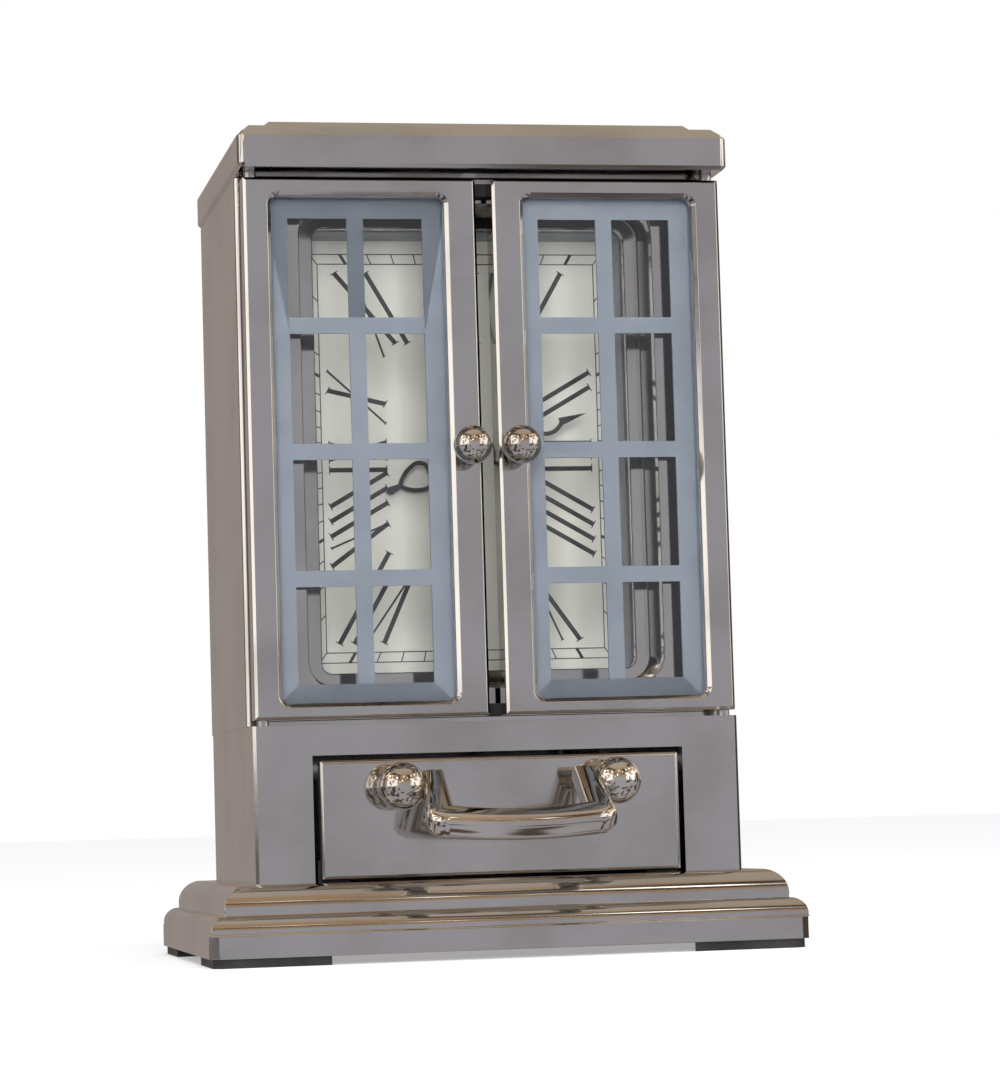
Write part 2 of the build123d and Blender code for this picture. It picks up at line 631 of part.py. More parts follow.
# Drawer tray: a bent sheet box, with two tabs that catch behind the case front when it is pulled out
with BuildPart() as drawer_tray:
    tray_length = TRAY_BACK - TRAY_FRONT
    tray_mid_y = (TRAY_FRONT + TRAY_BACK) / 2
    with BuildSketch(level(DRAWER_BOTTOM)):
        with Locations((0, tray_mid_y)):
            Rectangle(2 * TRAY_HALF_WIDTH, tray_length)
    extrude(amount=TRAY_TOP - DRAWER_BOTTOM)
    with BuildSketch(level(DRAWER_BOTTOM + TRAY_WALL)):
        with Locations((0, tray_mid_y)):
            Rectangle(2 * (TRAY_HALF_WIDTH - TRAY_WALL), tray_length - 2 * TRAY_WALL)
    extrude(amount=TRAY_TOP - DRAWER_BOTTOM - TRAY_WALL, mode=Mode.SUBTRACT)
    with BuildSketch(level(TRAY_TOP - TRAY_WALL)):
        for side in (-1, 1):
            with Locations((side * (TRAY_HALF_WIDTH - TRAY_WALL / 2), STOP_TAB_Y + TRAY_WALL)):
                Rectangle(TRAY_WALL, 2 * TRAY_WALL)
    extrude(amount=STOP_TAB_TOP - TRAY_TOP + TRAY_WALL)
drawer_tray.part.label = "drawer_tray"
export_step(drawer_tray.part, "parts/drawer_tray.step")


def bail_plane():
    """Plane of the bail: X to the right, Y from the posts out and down to the bar, at the balls' centres."""
    drop = radians(BAIL_DROP_ANGLE)
    return Plane(
        origin=(0, DRAWER_FRONT - PULL_BALL_OUT, PULL_Z),
        x_dir=(1, 0, 0),
        z_dir=(0, sin(drop), -cos(drop)),
    )


# Drawer pull: the bail is its side profile run across, cut to the swagged outline seen square to it
with BuildPart() as drawer_pull:
    bail = bail_plane()
    with BuildSketch(Plane(origin=bail.origin, x_dir=bail.y_dir, z_dir=(1, 0, 0))):
        Circle(BAIL_EYE_RADIUS)
        with Locations((BAIL_REACH / 2, 0)):
            Rectangle(BAIL_REACH, 2 * BAIL_EYE_RADIUS)
        with Locations((BAIL_REACH, 0)):
            Circle(BAIL_EYE_RADIUS)
    extrude(amount=BAIL_BAR_OUTER, both=True)
    with BuildSketch(bail):
        with BuildLine():
            inner = BAIL_REACH - BAIL_EYE_RADIUS - BAIL_SWAG
            outer = BAIL_REACH + BAIL_EYE_RADIUS - BAIL_SWAG
            eye = -BAIL_EYE_RADIUS
            over_bar = ThreePointArc(
                (-BAIL_ARM_INNER, inner), (0, inner + BAIL_SWAG), (BAIL_ARM_INNER, inner)
            )
            right_arm = Polyline(
                over_bar @ 1,
                (BAIL_ARM_INNER, eye),
                (BAIL_ARM_OUTER, eye),
                (BAIL_BAR_OUTER, inner),
                (BAIL_BAR_OUTER, outer - BAIL_CORNER),
                (BAIL_BAR_OUTER - BAIL_CORNER, outer),
            )
            under_bar = ThreePointArc(
                right_arm @ 1, (0, outer + BAIL_SWAG), (BAIL_CORNER - BAIL_BAR_OUTER, outer)
            )
            Polyline(
                under_bar @ 1,
                (-BAIL_BAR_OUTER, outer - BAIL_CORNER),
                (-BAIL_BAR_OUTER, inner),
                (-BAIL_ARM_OUTER, eye),
                (-BAIL_ARM_INNER, eye),
                over_bar @ 0,
            )
        make_face()
    extrude(amount=2 * BAIL_EYE_RADIUS, both=True, mode=Mode.INTERSECT)
    for side in (-1, 1):
        turning = turning_plane(side * PULL_X, DRAWER_FRONT, PULL_Z)
        outline = knob_outline(PULL_ROSE_RADIUS, PULL_NECK_RADIUS, PULL_BALL_RADIUS, PULL_BALL_OUT)
        revolve(turning * outline, axis=Axis(turning.origin, turning.y_dir))
drawer_pull.part.label = "drawer_pull"
export_step(drawer_pull.part, "parts/drawer_pull.step")

# Crystal: the clear window that seats on the back of the sight ledge
with BuildPart() as crystal:
    with BuildSketch(facing_front(CRYSTAL_BACK)):
        with Locations((0, DIAL_Z)):
            Rectangle(2 * DIAL_HALF_WIDTH, 2 * DIAL_HALF_HEIGHT)
    extrude(amount=CRYSTAL_THICK)
crystal.part.label = "crystal"
export_step(crystal.part, "parts/crystal.step")

# Dial surround: the deep rectangular ring that spaces the dial from the crystal
with BuildPart() as dial_surround:
    with BuildSketch(facing_front(DIAL_FRONT)):
        with Locations((0, DIAL_Z)):
            Rectangle(2 * DIAL_HALF_WIDTH, 2 * DIAL_HALF_HEIGHT)
            RectangleRounded(
                2 * WINDOW_HALF_WIDTH, 2 * WINDOW_HALF_HEIGHT, WINDOW_CORNER, mode=Mode.SUBTRACT
            )
    extrude(amount=DIAL_FRONT - CRYSTAL_BACK)
dial_surround.part.label = "dial_surround"
export_step(dial_surround.part, "parts/dial_surround.step")

# Dial card, with the hole that the hands' tube passes through
with BuildPart() as dial:
    with BuildSketch(facing_front(DIAL_BACK)):
        with Locations((0, DIAL_Z)):
            Rectangle(2 * DIAL_HALF_WIDTH, 2 * DIAL_HALF_HEIGHT)
            Circle(DIAL_HOLE_RADIUS, mode=Mode.SUBTRACT)
    extrude(amount=DIAL_THICK)
dial.part.label = "dial"
export_step(dial.part, "parts/dial.step")


def hand_plane(y, angle):
    """Plane of a hand at depth y: X points from the arbor along the hand, angle degrees clockwise from 12."""
    turn = radians(angle)
    return Plane(origin=(0, y, DIAL_Z), x_dir=(sin(turn), 0, cos(turn)), z_dir=(0, -1, 0))


# Minute hand: a hub, a straight stem, a serpentine of two bends and a pointed tip
with BuildPart() as minute_hand:
    with BuildSketch(hand_plane(MINUTE_HAND_BACK, MINUTE_ANGLE)):
        Circle(MINUTE_HUB_RADIUS)
        with BuildLine():
            stem = Line((0, 0), (SERPENT_START, 0))
            first_bend = ThreePointArc(
                stem @ 1,
                (SERPENT_START + BEND_LENGTH / 2, BEND_SWING),
                (SERPENT_START + BEND_LENGTH, 0),
            )
            ThreePointArc(
                first_bend @ 1,
                (SERPENT_START + 1.5 * BEND_LENGTH, -BEND_SWING),
                (SERPENT_START + 2 * BEND_LENGTH, 0),
            )
        trace(line_width=HAND_LINE)
        with BuildLine():
            tip_start = SERPENT_START + 2 * BEND_LENGTH - HAND_LINE / 2
            Polyline((tip_start, -HAND_LINE), (MINUTE_HAND_LENGTH, 0), (tip_start, HAND_LINE), close=True)
        make_face()
        Circle(ARBOR_RADIUS, mode=Mode.SUBTRACT)
    extrude(amount=HAND_THICK)
minute_hand.part.label = "minute_hand"
export_step(minute_hand.part, "parts/minute_hand.step")

# Hour hand: a hub, a stem with a bead, an open heart and a short pointed tip
with BuildPart() as hour_hand:
    with BuildSketch(hand_plane(HOUR_HAND_BACK, HOUR_ANGLE)):
        Circle(HOUR_HUB_RADIUS)
        with BuildLine():
            Line((0, 0), (HEART_START, 0))
        trace(line_width=HAND_LINE)
        with Locations((BEAD_X, 0)):
            Circle(BEAD_RADIUS)
        with BuildLine():
            for lobe in (-1, 1):
                shoulder = ThreePointArc(
                    (HEART_START, 0),
                    (HEART_START + 0.12 * HEART_LENGTH, lobe * 0.93 * HEART_HALF_WIDTH),
                    (HEART_START + 0.4 * HEART_LENGTH, lobe * HEART_HALF_WIDTH),
                )
                ThreePointArc(
                    shoulder @ 1,
                    (HEART_START + 0.75 * HEART_LENGTH, lobe * 0.62 * HEART_HALF_WIDTH),
                    (HEART_START + HEART_LENGTH, 0),
                )
        trace(line_width=HAND_LINE)
        with BuildLine():
            point_start = HEART_START + HEART_LENGTH - HAND_LINE / 2
            Polyline(
                (point_start, -HAND_LINE / 2),
                (HOUR_HAND_LENGTH - BEAD_RADIUS, -HAND_LINE),
                (HOUR_HAND_LENGTH, 0),
                (HOUR_HAND_LENGTH - BEAD_RADIUS, HAND_LINE),
                (point_start, HAND_LINE / 2),
                close=True,
            )
        make_face()
        Circle(TUBE_RADIUS, mode=Mode.SUBTRACT)
    extrude(amount=HAND_THICK)
hour_hand.part.label = "hour_hand"
export_step(hour_hand.part, "parts/hour_hand.step")

# Minute arbor, with the cannon pinion that drives the minute wheel; the minute hand is pressed on its tip
with BuildPart() as minute_arbor:
    with BuildSketch(facing_front(ARBOR_BACK)):
        with Locations((0, DIAL_Z)):
            Circle(ARBOR_RADIUS)
    extrude(amount=ARBOR_BACK - ARBOR_TIP)
    with BuildSketch(facing_front(PINION_BACK)):
        with Locations((0, DIAL_Z)):
            add(gear_face(CANNON_TEETH, COARSE_MODULE))
    extrude(amount=PINION_BACK - PINION_FRONT)
minute_arbor.part.label = "minute_arbor"
export_step(minute_arbor.part, "parts/minute_arbor.step")

# Hour wheel and the tube that carries the hour hand round the arbor
with BuildPart() as hour_wheel:
    with BuildSketch(facing_front(HOUR_WHEEL_BACK)):
        with Locations((0, DIAL_Z)):
            add(gear_face(HOUR_WHEEL_TEETH, FINE_MODULE))
    extrude(amount=HOUR_WHEEL_BACK - HOUR_WHEEL_FRONT)
    with BuildSketch(facing_front(HOUR_WHEEL_BACK)):
        with Locations((0, DIAL_Z)):
            Circle(TUBE_RADIUS)
    extrude(amount=HOUR_WHEEL_BACK - TUBE_FRONT)
    with BuildSketch(facing_front(HOUR_WHEEL_BACK)):
        with Locations((0, DIAL_Z)):
            Circle(TUBE_BORE_RADIUS)
    extrude(amount=HOUR_WHEEL_BACK - TUBE_FRONT, mode=Mode.SUBTRACT)
hour_wheel.part.label = "hour_wheel"
export_step(hour_wheel.part, "parts/hour_wheel.step")

# Minute wheel: driven by the cannon pinion, and its own pinion drives the hour wheel
with BuildPart() as minute_wheel:
    with BuildSketch(facing_front(MINUTE_WHEEL_BACK)):
        with Locations((0, MINUTE_WHEEL_Z)):
            add(gear_face(MINUTE_WHEEL_TEETH, COARSE_MODULE, 180 / MINUTE_WHEEL_TEETH))
    extrude(amount=MINUTE_WHEEL_BACK - MINUTE_WHEEL_FRONT)
    with BuildSketch(facing_front(MINUTE_WHEEL_FRONT)):
        with Locations((0, MINUTE_WHEEL_Z)):
            add(gear_face(MINUTE_PINION_TEETH, FINE_MODULE))
    extrude(amount=MINUTE_WHEEL_FRONT - MINUTE_PINION_FRONT)
    with BuildSketch(facing_front(MINUTE_WHEEL_BACK)):
        with Locations((0, MINUTE_WHEEL_Z)):
            Circle(STUD_BORE_RADIUS)
    extrude(amount=MINUTE_WHEEL_BACK - MINUTE_PINION_FRONT, mode=Mode.SUBTRACT)
minute_wheel.part.label = "minute_wheel"
export_step(minute_wheel.part, "parts/minute_wheel.step")

# Setting shaft: its pinion turns the minute wheel, and its tail comes out through the rear cover
with BuildPart() as setting_shaft:
    with BuildSketch(facing_front(PINION_BACK)):
        with Locations((0, SETTING_Z)):
            add(gear_face(SETTING_TEETH, COARSE_MODULE))
    extrude(amount=PINION_BACK - PINION_FRONT)
    with BuildSketch(facing_front(PINION_FRONT)):
        with Locations((0, SETTING_Z)):
            Circle(SETTING_SHAFT_RADIUS)
    extrude(amount=-(SETTING_KNOB_FRONT + SETTING_KNOB_LENGTH / 2 - PINION_FRONT))
setting_shaft.part.label = "setting_shaft"
export_step(setting_shaft.part, "parts/setting_shaft.step")

# Setting knob: a grooved button pressed on the shaft, behind the rear cover
with BuildPart() as setting_knob:
    with BuildSketch(facing_front(SETTING_KNOB_FRONT)):
        with Locations((0, SETTING_Z)):
            Circle(SETTING_KNOB_RADIUS)
    extrude(amount=-SETTING_KNOB_LENGTH)
    chamfer(setting_knob.faces().sort_by(Axis.Y)[-1].edges(), length=SETTING_KNOB_BEVEL)
    with BuildSketch(facing_front(SETTING_KNOB_FRONT)):
        with Locations((0, SETTING_Z)):
            with PolarLocations(SETTING_KNOB_RADIUS, GRIP_COUNT):
                RegularPolygon(GRIP_RADIUS, 4)
    extrude(amount=-SETTING_KNOB_LENGTH, mode=Mode.SUBTRACT)
    with BuildSketch(facing_front(SETTING_KNOB_FRONT)):
        with Locations((0, SETTING_Z)):
            Circle(SETTING_SHAFT_RADIUS)
    extrude(amount=-SETTING_KNOB_LENGTH / 2, mode=Mode.SUBTRACT)
setting_knob.part.label = "setting_knob"
export_step(setting_knob.part, "parts/setting_knob.step")

# Movement plate: its rim clamps the dial, its ears seat on the case's bosses, its stud carries a wheel
with BuildPart() as movement_plate:
    with BuildSketch(facing_front(PLATE_BACK)):
        with Locations((0, DIAL_Z)):
            Rectangle(2 * DIAL_HALF_WIDTH, 2 * DIAL_HALF_HEIGHT)
            with GridLocations(0, 2 * PLATE_BOSS_DZ, 1, 2):
                Rectangle(2 * PLATE_EAR_END, PLATE_BOSS_SIZE)
    extrude(amount=PLATE_BACK - PLATE_FRONT)
    with BuildSketch(facing_front(PLATE_FRONT)):
        with Locations((0, DIAL_Z)):
            Rectangle(2 * DIAL_HALF_WIDTH, 2 * DIAL_HALF_HEIGHT)
            Rectangle(2 * WINDOW_HALF_WIDTH, 2 * WINDOW_HALF_HEIGHT, mode=Mode.SUBTRACT)
    extrude(amount=PLATE_FRONT - DIAL_BACK)
    with BuildSketch(facing_front(PLATE_FRONT)):
        with Locations((0, MINUTE_WHEEL_Z)):
            Circle(STUD_RADIUS)
    extrude(amount=PLATE_FRONT - STUD_FRONT)
    with BuildSketch(facing_front(PLATE_BACK)):
        with Locations((0, DIAL_Z)):
            Circle(ARBOR_RADIUS + SHAFT_CLEARANCE)
        with Locations((0, SETTING_Z)):
            Circle(SETTING_SHAFT_RADIUS + SHAFT_CLEARANCE)
        with Locations((0, DIAL_Z)):
            with GridLocations(2 * LUG_X, 2 * LUG_DZ, 2, 2):
                Rectangle(LUG_SIZE, LUG_SIZE)
    extrude(amount=PLATE_BACK - PLATE_FRONT, mode=Mode.SUBTRACT)
movement_plate.part.label = "movement_plate"
export_step(movement_plate.part, "parts/movement_plate.step")

# Movement housing: a moulded box with lugs that enter the plate, and the cell's well open to the back
with BuildPart() as movement_housing:
    with BuildSketch(facing_front(HOUSING_BACK)):
        with Locations((0, DIAL_Z)):
            Rectangle(2 * HOUSING_HALF_WIDTH, 2 * HOUSING_HALF_HEIGHT)
    extrude(amount=HOUSING_BACK - PLATE_BACK)
    with BuildSketch(facing_front(CAVITY_BACK)):
        with Locations((0, DIAL_Z)):
            Rectangle(2 * (HOUSING_HALF_WIDTH - HOUSING_WALL), 2 * (HOUSING_HALF_HEIGHT - HOUSING_WALL))
        with Locations((0, DIAL_Z)):
            with GridLocations(2 * LUG_X, 2 * LUG_DZ, 2, 2):
                Rectangle(LUG_BOSS_SIZE, LUG_BOSS_SIZE, mode=Mode.SUBTRACT)
        with Locations((0, DIAL_Z)):
            Rectangle(BEARING_SIZE, BEARING_SIZE, mode=Mode.SUBTRACT)
    extrude(amount=CAVITY_BACK - PLATE_BACK, mode=Mode.SUBTRACT)
    with BuildSketch(facing_front(CAVITY_BACK)):
        with Locations(*[(x, z) for x in (-STATOR_POST_X, STATOR_POST_X) for z in STATOR_POST_HEIGHTS]):
            Rectangle(STATOR_POST_SIZE, STATOR_POST_SIZE)
    extrude(amount=CAVITY_BACK - STATOR_FRONT - STATOR_THICK)
    with BuildSketch(facing_front(PLATE_BACK)):
        with Locations((0, DIAL_Z)):
            Rectangle(BEARING_SIZE, BEARING_SIZE)
    extrude(amount=PLATE_BACK - BEARING_FRONT, mode=Mode.SUBTRACT)
    with BuildSketch(facing_front(BEARING_FRONT)):
        with Locations((0, DIAL_Z)):
            Circle(ARBOR_RADIUS + SHAFT_CLEARANCE)
    extrude(amount=BEARING_FRONT - ARBOR_BACK - ARBOR_END_GAP, mode=Mode.SUBTRACT)
    with BuildSketch(facing_front(HOUSING_BACK)):
        with Locations((0, SETTING_Z)):
            Circle(SETTING_SHAFT_RADIUS + SHAFT_CLEARANCE)
    extrude(amount=HOUSING_BACK - CAVITY_BACK, mode=Mode.SUBTRACT)
    with BuildSketch(facing_front(HOUSING_BACK)):
        with Locations((0, CELL_Z)):
            Circle(CELL_WELL_RADIUS)
    extrude(amount=HOUSING_BACK - CELL_WELL_FRONT, mode=Mode.SUBTRACT)
    with BuildSketch(facing_front(PLATE_BACK)):
        with Locations((0, DIAL_Z)):
            with GridLocations(2 * LUG_X, 2 * LUG_DZ, 2, 2):
                Rectangle(LUG_SIZE, LUG_SIZE)
    extrude(amount=PLATE_BACK - PLATE_FRONT)
movement_housing.part.label = "movement_housing"
export_step(movement_housing.part, "parts/movement_housing.step")

# Stator: one lamination, with the rotor's hole in its yoke and the coil's core across the top
with BuildPart() as stator:
    with BuildSketch(facing_front(STATOR_FRONT + STATOR_THICK)):
        with Locations((0, (STATOR_BOTTOM + STATOR_TOP) / 2)):
            Rectangle(2 * STATOR_HALF_WIDTH, STATOR_TOP - STATOR_BOTTOM)
        with Locations((0, (STATOR_YOKE_TOP + STATOR_TOP - CORE_HEIGHT) / 2)):
            Rectangle(
                2 * (STATOR_HALF_WIDTH - STATOR_ARM),
                STATOR_TOP - CORE_HEIGHT - STATOR_YOKE_TOP,
                mode=Mode.SUBTRACT,
            )
        with Locations((0, ROTOR_Z)):
            Circle(ROTOR_HOLE_RADIUS, mode=Mode.SUBTRACT)
    extrude(amount=STATOR_THICK)
stator.part.label = "stator"
export_step(stator.part, "parts/stator.step")

# Motor coil: a flanged bobbin and its winding on the stator's core
with BuildPart() as motor_coil:
    across = Plane(origin=(-COIL_HALF_LENGTH, COIL_Y, COIL_Z), x_dir=(0, 1, 0), z_dir=(1, 0, 0))
    with BuildSketch(across):
        Circle(COIL_RADIUS)
    extrude(amount=2 * COIL_HALF_LENGTH)
    with BuildSketch(across, across.offset(2 * COIL_HALF_LENGTH - FLANGE_THICK)):
        Rectangle(FLANGE_SIZE, FLANGE_SIZE)
    extrude(amount=FLANGE_THICK)
    with BuildSketch(across):
        Rectangle(STATOR_THICK, CORE_HEIGHT)
    extrude(amount=2 * COIL_HALF_LENGTH, mode=Mode.SUBTRACT)
motor_coil.part.label = "motor_coil"
export_step(motor_coil.part, "parts/motor_coil.step")

# Circuit board at the bottom of the housing, with a hole for the setting shaft
with BuildPart() as circuit_board:
    with BuildSketch(facing_front(CAVITY_BACK)):
        with Locations((0, (BOARD_BOTTOM + BOARD_TOP) / 2)):
            Rectangle(2 * BOARD_HALF_WIDTH, BOARD_TOP - BOARD_BOTTOM)
        with Locations((0, SETTING_Z)):
            Circle(BOARD_HOLE_RADIUS, mode=Mode.SUBTRACT)
    extrude(amount=BOARD_THICK)
circuit_board.part.label = "circuit_board"
export_step(circuit_board.part, "parts/circuit_board.step")

# Button cell, with its stepped negative face towards the contact
with BuildPart() as button_cell:
    cell_front = CELL_WELL_FRONT + 2 * CONTACT_THICK
    with BuildSketch(facing_front(cell_front + CELL_THICK)):
        with Locations((0, CELL_Z)):
            Circle(CELL_RADIUS)
    extrude(amount=CELL_THICK - CELL_STEP)
    with BuildSketch(facing_front(cell_front + CELL_STEP)):
        with Locations((0, CELL_Z)):
            Circle(CELL_CAP_RADIUS)
    extrude(amount=CELL_STEP)
button_cell.part.label = "button_cell"
export_step(button_cell.part, "parts/button_cell.step")

# Cell contact: a strip on the floor of the well with a raised tongue under the cell
with BuildPart() as cell_contact:
    with BuildSketch(facing_front(CELL_WELL_FRONT)):
        with Locations((0, CELL_Z)):
            Rectangle(CONTACT_WIDTH, 2 * CELL_CAP_RADIUS)
    extrude(amount=-CONTACT_THICK)
    with BuildSketch(facing_front(CELL_WELL_FRONT + CONTACT_THICK)):
        with Locations((0, CELL_Z)):
            Rectangle(CONTACT_WIDTH, CONTACT_WIDTH)
    extrude(amount=-CONTACT_THICK)
cell_contact.part.label = "cell_contact"
export_step(cell_contact.part, "parts/cell_contact.step")

# Rear cover: a plate let into the back of the upper case, with a pad that keeps the cell in its well
with BuildPart() as rear_cover:
    with BuildSketch(facing_front(CASE_BACK)):
        with Locations((0, UPPER_MID_Z)):
            Rectangle(
                2 * (UPPER_HALF_WIDTH - UPPER_WALL - COVER_GAP), UPPER_HEIGHT - 2 * (UPPER_WALL + COVER_GAP)
            )
        with Locations((0, SETTING_Z)):
            Circle(COVER_HOLE_RADIUS, mode=Mode.SUBTRACT)
    extrude(amount=CASE_BACK - COVER_FRONT)
    with BuildSketch(facing_front(COVER_FRONT)):
        with Locations((0, CELL_Z)):
            Circle(CELL_PAD_RADIUS)
    extrude(amount=COVER_FRONT - CELL_WELL_FRONT - 2 * CONTACT_THICK - CELL_THICK)
rear_cover.part.label = "rear_cover"
export_step(rear_cover.part, "parts/rear_cover.step")
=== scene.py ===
import math

import bmesh
import bpy
from mathutils import Matrix, Vector


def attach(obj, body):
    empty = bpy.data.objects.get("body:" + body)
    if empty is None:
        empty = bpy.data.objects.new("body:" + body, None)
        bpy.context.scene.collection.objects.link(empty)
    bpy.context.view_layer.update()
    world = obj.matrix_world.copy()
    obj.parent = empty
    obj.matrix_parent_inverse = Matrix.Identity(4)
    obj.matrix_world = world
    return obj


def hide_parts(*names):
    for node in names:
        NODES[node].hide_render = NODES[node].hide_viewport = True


# A miniature cabinet clock in polished nickel plate, dressed over its CAD frame.
# Sizes are in millimetres and become metres at the mesh. X is right, Y is back and Z is up.

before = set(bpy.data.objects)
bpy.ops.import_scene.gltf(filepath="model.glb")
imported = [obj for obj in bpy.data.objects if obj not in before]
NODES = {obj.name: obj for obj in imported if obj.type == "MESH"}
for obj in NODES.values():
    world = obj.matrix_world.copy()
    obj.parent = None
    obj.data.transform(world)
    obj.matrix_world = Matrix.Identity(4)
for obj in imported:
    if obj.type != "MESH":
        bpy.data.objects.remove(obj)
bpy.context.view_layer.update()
MM = 0.001

# Places shared with the frame
PLINTH_UNDERSIDE_Z = 5.9
DOOR_FRONT_Y = -13.8
KNOB_X, KNOB_Z, KNOB_BALL_OUT = 2.4, 48.55, 3.3
KNOB_ROSE, KNOB_NECK, KNOB_BALL = 1.2, 0.55, 1.85
DRAWER_FRONT_Y = -14.1
PULL_X, PULL_Z, PULL_BALL_OUT = 10.3, 16.35, 4.4
PULL_ROSE, PULL_NECK, PULL_BALL = 1.7, 1.0, 2.25
ROSE_EDGE, ROSE_HEIGHT = 0.22, 0.75
COVE_STEPS, BALL_STEPS, POST_SEGMENTS = 8, 32, 64
BAIL_DROP_ANGLE, BAIL_REACH, BAIL_HALF_THICK, BAIL_SWAG = 33.9, 6.85, 1.33, 0.7
BAIL_ARM_INNER, BAIL_ARM_OUTER, BAIL_BAR_OUTER = 6.2, 8.3, 8.88
BAIL_CORNER_IN, BAIL_CORNER_UP, BAIL_EDGE, BAIL_EDGE_STEPS = 0.9, 0.9, 1.2, 7
BAIL_SWAG_STEPS = 8
DIAL_Y, DIAL_Z = 1.8, 49.4
COVER_BACK_Y = 20.2
COVER_SCREW_X, COVER_SCREW_BOTTOM_Z, COVER_SCREW_TOP_Z = 20.6, 25.5, 72.4
BASE_SCREW_X, BASE_SCREW_FRONT_Y, BASE_SCREW_BACK_Y = 19.0, -9.8, 16.6


# Output sockets by their order on a node
OBJECT_PLACE = 3
MIXED_COLOUR = 2
CAMERA_RAY, TRANSMISSION_RAY = 0, 6


class Number:
    """An output socket of a finish; arithmetic on it adds Math nodes."""

    def __init__(self, finish, socket):
        self.finish, self.socket = finish, socket

    def _with(self, operation, *values):
        return self.finish.node("Math", {"operation": operation}, *values)

    def __add__(self, other):
        return self._with("ADD", self, other)

    def __mul__(self, other):
        return self._with("MULTIPLY", self, other)

    def between(self, low, high, to_low=0.0, to_high=1.0):
        """Smooth step of this value from low to high."""
        ease = {"interpolation_type": "SMOOTHSTEP"}
        return self.finish.node("MapRange", ease, self, low, high, to_low, to_high)


class Finish:
    """A material, or the world, and the nodes that its recipe adds."""

    def __init__(self, owner):
        owner.use_nodes = True
        self.owner, self.tree = owner, owner.node_tree
        self.tree.nodes.clear()

    def node(self, kind, settings, *values, output=0, **named):
        made = self.tree.nodes.new("ShaderNode" + kind)
        for key, value in settings.items():
            setattr(made, key, value)
        for key, value in list(enumerate(values)) + list(named.items()):
            socket = made.inputs[key if isinstance(key, int) else key.replace("_", " ")]
            if isinstance(value, Number):
                self.tree.links.new(value.socket, socket)
            elif value is not None:
                socket.default_value = value
        return Number(self, made.outputs[output]) if made.outputs else made

    def place(self):
        """The place on the object, in metres from its own origin."""
        return self.node("TexCoord", {}, output=OBJECT_PLACE)

    def noise(self, scale, detail=3.0, stretch=None):
        where = self.place()
        if stretch:
            where = self.node("Mapping", {}, Vector=where, Scale=stretch)
        return self.node("TexNoise", {}, Vector=where, Scale=scale, Detail=detail)

    def blend(self, share, first, second):
        """The first colour where the share is 0 and the second where it is 1."""
        skipped = (None,) * 5
        return self.node("Mix", {"data_type": "RGBA"}, share, *skipped, tint(first), tint(second),
                         output=MIXED_COLOUR)

    def bump(self, height, distance, strength=1.0):
        return self.node("Bump", {}, Strength=strength, Distance=distance, Height=height)

    def surface(self, shader, kind="Material"):
        self.node("Output" + kind, {}, shader)
        return self.owner


def tint(colour):
    return colour if isinstance(colour, Number) else (*colour, 1.0)


def new_finish(name):
    return Finish(bpy.data.materials.new(name))


# Finishes, with the height of their relief in metres

WAVE_RELIEF = 0.00004
STIPPLE_RELIEF = 0.00002
LINE_RELIEF = 0.00001
ACRYLIC_INDEX = 1.46
ACRYLIC_TINT = (0.985, 0.988, 0.986, 1.0)
CARD_CREAM, CARD_AGED = (0.92, 0.90, 0.83), (0.87, 0.85, 0.76)


def plated_metal(name, bright, dull, rough, wave):
    """Nickel plate polished by hand: faint waves, fine hairlines and a little dulling in patches."""
    f = new_finish(name)
    patches = f.noise(90.0, 4.0).between(0.42, 0.7)
    hairlines = f.noise(900.0, 2.0, (0.12, 1.0, 1.0))
    height = f.noise(130.0, 1.0) * wave + hairlines * 0.04
    return f.surface(f.node(
        "BsdfPrincipled", {}, Metallic=1.0, Base_Color=f.blend(patches, bright, dull),
        Roughness=patches * 0.05 + hairlines * 0.03 + rough, Normal=f.bump(height, WAVE_RELIEF),
    ))


def painted(name, colour, worn, rough, grain=0.5, metallic=0.0):
    """Satin coating with a fine stipple and slightly uneven colour."""
    f = new_finish(name)
    uneven = f.noise(220.0, 4.0).between(0.35, 0.7)
    return f.surface(f.node(
        "BsdfPrincipled", {}, Metallic=metallic, Base_Color=f.blend(uneven, colour, worn),
        Roughness=uneven * 0.1 + rough, Normal=f.bump(f.noise(2600.0, 2.0), STIPPLE_RELIEF, grain),
    ))


def brushed(name, colour, shade, rough, stretch):
    """Machined or rolled metal with fine lines in one direction."""
    f = new_finish(name)
    lines = f.noise(1500.0, 3.0, stretch)
    return f.surface(f.node(
        "BsdfPrincipled", {}, Metallic=1.0, Base_Color=f.blend(lines, colour, shade),
        Roughness=lines * 0.12 + rough, Normal=f.bump(lines, LINE_RELIEF, 0.4),
    ))


def clear_sheet(name):
    """Thin clear acrylic: it lets straight light through and mirrors a little at a slant."""
    f = new_finish(name)
    through = f.node("BsdfTransparent", {}, Color=ACRYLIC_TINT)
    mirror = f.node("BsdfGlossy", {}, Color=(1.0, 1.0, 1.0, 1.0), Roughness=0.03)
    slant = f.node("Fresnel", {}, IOR=ACRYLIC_INDEX)
    return f.surface(f.node("MixShader", {}, slant, through, mirror))


def dial_card(name):
    """Matt card, warm white, with fibres too fine to see one by one and a slight ageing."""
    f = new_finish(name)
    aged = f.noise(60.0, 4.0).between(0.35, 0.75)
    fibres = f.noise(4200.0, 2.0, (1.0, 1.0, 0.3))
    return f.surface(f.node(
        "BsdfPrincipled", {}, Base_Color=f.blend(aged, CARD_CREAM, CARD_AGED),
        Roughness=fibres * 0.1 + 0.62, Normal=f.bump(fibres, STIPPLE_RELIEF, 0.5),
    ))


